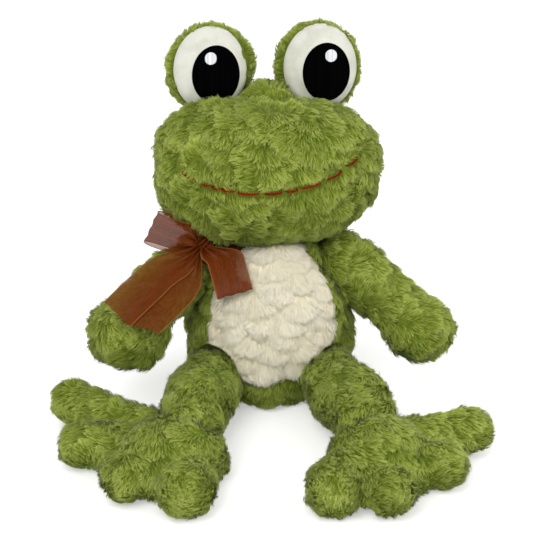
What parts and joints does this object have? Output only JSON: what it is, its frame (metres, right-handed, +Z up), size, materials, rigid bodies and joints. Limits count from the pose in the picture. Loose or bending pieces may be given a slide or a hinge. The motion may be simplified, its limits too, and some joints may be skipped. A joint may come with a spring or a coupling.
{
  "type": "plush frog",
  "caption": "Sitting plush frog in long green pile with a cream belly panel, stitched mouth, raised felt eyes and a sheer brown ribbon bow at its neck.",
  "frame": {"origin": "middle of the flat seat under the torso, on the surface the frog sits on", "axes": "+Z up, -Y the way the frog faces, +X its own left"},
  "size_m": [0.283, 0.2825, 0.2408],
  "materials": {
    "green_plush": "long curly pile",
    "cream_plush": "long curly pile",
    "white_felt": "short brushed pile",
    "black_thread": "satin stitch",
    "white_thread": "satin stitch",
    "red_thread": "running stitch",
    "organza": "sheer, shiny"
  },
  "bodies": {
    "torso": {"torso": "green_plush", "belly_panel": "cream_plush", "neck_ribbon": "organza", "bow_knot": "organza", "bow_loop_side": "organza", "bow_loop_front": "organza", "bow_tail_upper": "organza", "bow_tail_lower": "organza"},
    "head": {"head": "green_plush", "mouth_thread": "red_thread", "eye_left": "green_plush", "eye_left_white": "white_felt", "eye_left_pupil": "black_thread", "eye_left_glint": "white_thread", "eye_right": "green_plush", "eye_right_white": "white_felt", "eye_right_pupil": "black_thread", "eye_right_glint": "white_thread"},
    "arm_left": {"arm_left": "green_plush"},
    "arm_right": {"arm_right": "green_plush"},
    "leg_left": {"leg_left": "green_plush"},
    "leg_right": {"leg_right": "green_plush"},
    "foot_left": {"foot_left": "green_plush"},
    "foot_right": {"foot_right": "green_plush"}
  },
  "joints": [
    {"name": "neck_nod", "type": "hinge", "parent": "torso", "child": "head", "pos_m": [0, 0.02008, 0.08053], "axis": [1, 0, 0], "range_deg": [-12, 2], "deforming": ["bow_loop_side"]},
    {"name": "shoulder_left", "type": "hinge", "parent": "torso", "child": "arm_left", "pos_m": [0.048, 0.0205, 0.086], "axis": [-0.5446, -0.8387, 0], "range_deg": [-8, 40]},
    {"name": "shoulder_right", "type": "hinge", "parent": "torso", "child": "arm_right", "pos_m": [-0.048, 0.0205, 0.086], "axis": [-0.7771, 0.6293, 0], "range_deg": [-8, 24], "deforming": ["bow_loop_side", "bow_tail_upper", "bow_tail_lower"]},
    {"name": "hip_left", "type": "hinge", "parent": "torso", "child": "leg_left", "pos_m": [0.043, -0.036, 0.025], "axis": [-0.9796, -0.2011, 0], "range_deg": [-60, 8]},
    {"name": "ankle_left", "type": "hinge", "parent": "leg_left", "child": "foot_left", "pos_m": [0.05796, -0.10887, 0.024], "axis": [-0.9796, -0.2011, 0], "range_deg": [-20, 20]},
    {"name": "hip_right", "type": "hinge", "parent": "torso", "child": "leg_right", "pos_m": [-0.043, -0.036, 0.025], "axis": [-0.9966, 0.0819, 0], "range_deg": [-60, 8]},
    {"name": "ankle_right", "type": "hinge", "parent": "leg_right", "child": "foot_right", "pos_m": [-0.0491, -0.11014, 0.024], "axis": [-0.9966, 0.0819, 0], "range_deg": [-20, 20]}
  ]
}
